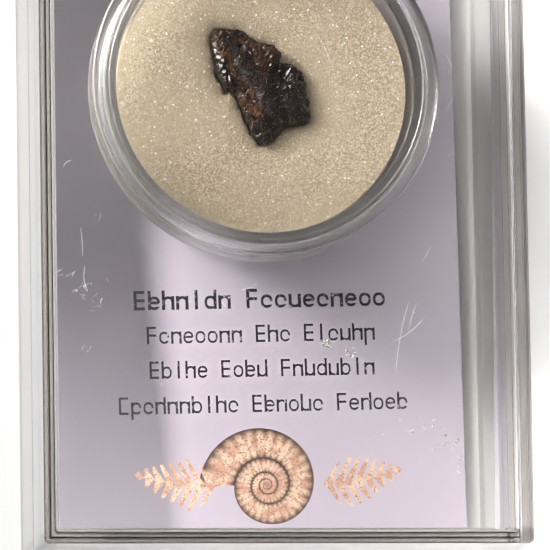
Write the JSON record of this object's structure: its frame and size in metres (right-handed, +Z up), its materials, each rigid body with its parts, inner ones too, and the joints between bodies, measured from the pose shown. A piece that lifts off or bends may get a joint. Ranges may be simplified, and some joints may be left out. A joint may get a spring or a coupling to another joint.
{
  "type": "fossil tooth in a display case",
  "caption": "Small dark fossil tooth pressed into a foam pad in a round clear jar, on a card inside a clear two-piece rectangular display case.",
  "frame": {"origin": "middle of the case's flat underside", "axes": "+X along the case's short side, +Y along its long side away from the printed lines of the card, +Z up"},
  "size_m": [0.0572, 0.0826, 0.0286],
  "materials": {
    "case_plastic": "gloss",
    "lid_plastic": "gloss",
    "card": "satin",
    "jar_plastic": "gloss",
    "foam": "matte",
    "fossil": "gloss"
  },
  "bodies": {
    "root": {"case_base": "case_plastic", "case_lid": "lid_plastic", "label_card": "card", "jar_base": "jar_plastic", "jar_lid": "jar_plastic", "foam_pad": "foam", "tooth": "fossil"}
  },
  "joints": []
}
